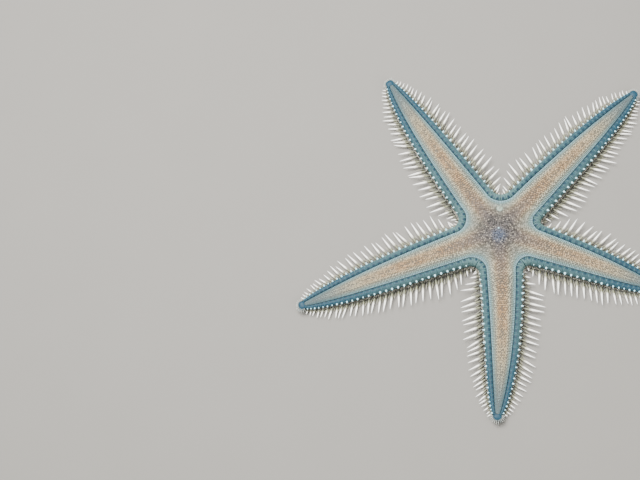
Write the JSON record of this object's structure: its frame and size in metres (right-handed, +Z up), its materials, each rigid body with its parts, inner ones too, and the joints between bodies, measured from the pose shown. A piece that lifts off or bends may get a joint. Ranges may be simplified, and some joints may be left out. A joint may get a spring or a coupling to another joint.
{
  "type": "sand sea star",
  "caption": "Life-size still sand sea star with a tan upper skin, blue edge plates and a fringe of pale spines, lying flat with its arms spread.",
  "frame": {"origin": "on the surface that the star lies on, below the middle of its outline", "axes": "+Z up out of the upper side; +Y away from the arm that points straight down in the picture, +X to the picture's right"},
  "size_m": [0.1482, 0.1468, 0.0106],
  "materials": {
    "sand_skin": "matte, granular",
    "blue_plate": "satin, granular",
    "ivory_spine": "satin",
    "pale_plate": "matte",
    "slate_skin": "matte"
  },
  "bodies": {
    "root": {"disc": "sand_skin", "mouth_plates": "ivory_spine", "apical_cone": "slate_skin", "madreporite": "pale_plate", "arm_1": "sand_skin", "arm_1_terminal_plate": "blue_plate", "arm_1_left_upper_margin": "blue_plate", "arm_1_left_lower_margin": "ivory_spine", "arm_1_right_upper_margin": "blue_plate", "arm_1_right_lower_margin": "ivory_spine", "arm_2": "sand_skin", "arm_2_terminal_plate": "blue_plate", "arm_2_left_upper_margin": "blue_plate", "arm_2_left_lower_margin": "ivory_spine", "arm_2_right_upper_margin": "blue_plate", "arm_2_right_lower_margin": "ivory_spine", "arm_3": "sand_skin", "arm_3_terminal_plate": "blue_plate", "arm_3_left_upper_margin": "blue_plate", "arm_3_left_lower_margin": "ivory_spine", "arm_3_right_upper_margin": "blue_plate", "arm_3_right_lower_margin": "ivory_spine", "arm_4": "sand_skin", "arm_4_terminal_plate": "blue_plate", "arm_4_left_upper_margin": "blue_plate", "arm_4_left_lower_margin": "ivory_spine", "arm_4_right_upper_margin": "blue_plate", "arm_4_right_lower_margin": "ivory_spine", "arm_5": "sand_skin", "arm_5_terminal_plate": "blue_plate", "arm_5_left_upper_margin": "blue_plate", "arm_5_left_lower_margin": "ivory_spine", "arm_5_right_upper_margin": "blue_plate", "arm_5_right_lower_margin": "ivory_spine"}
  },
  "joints": []
}
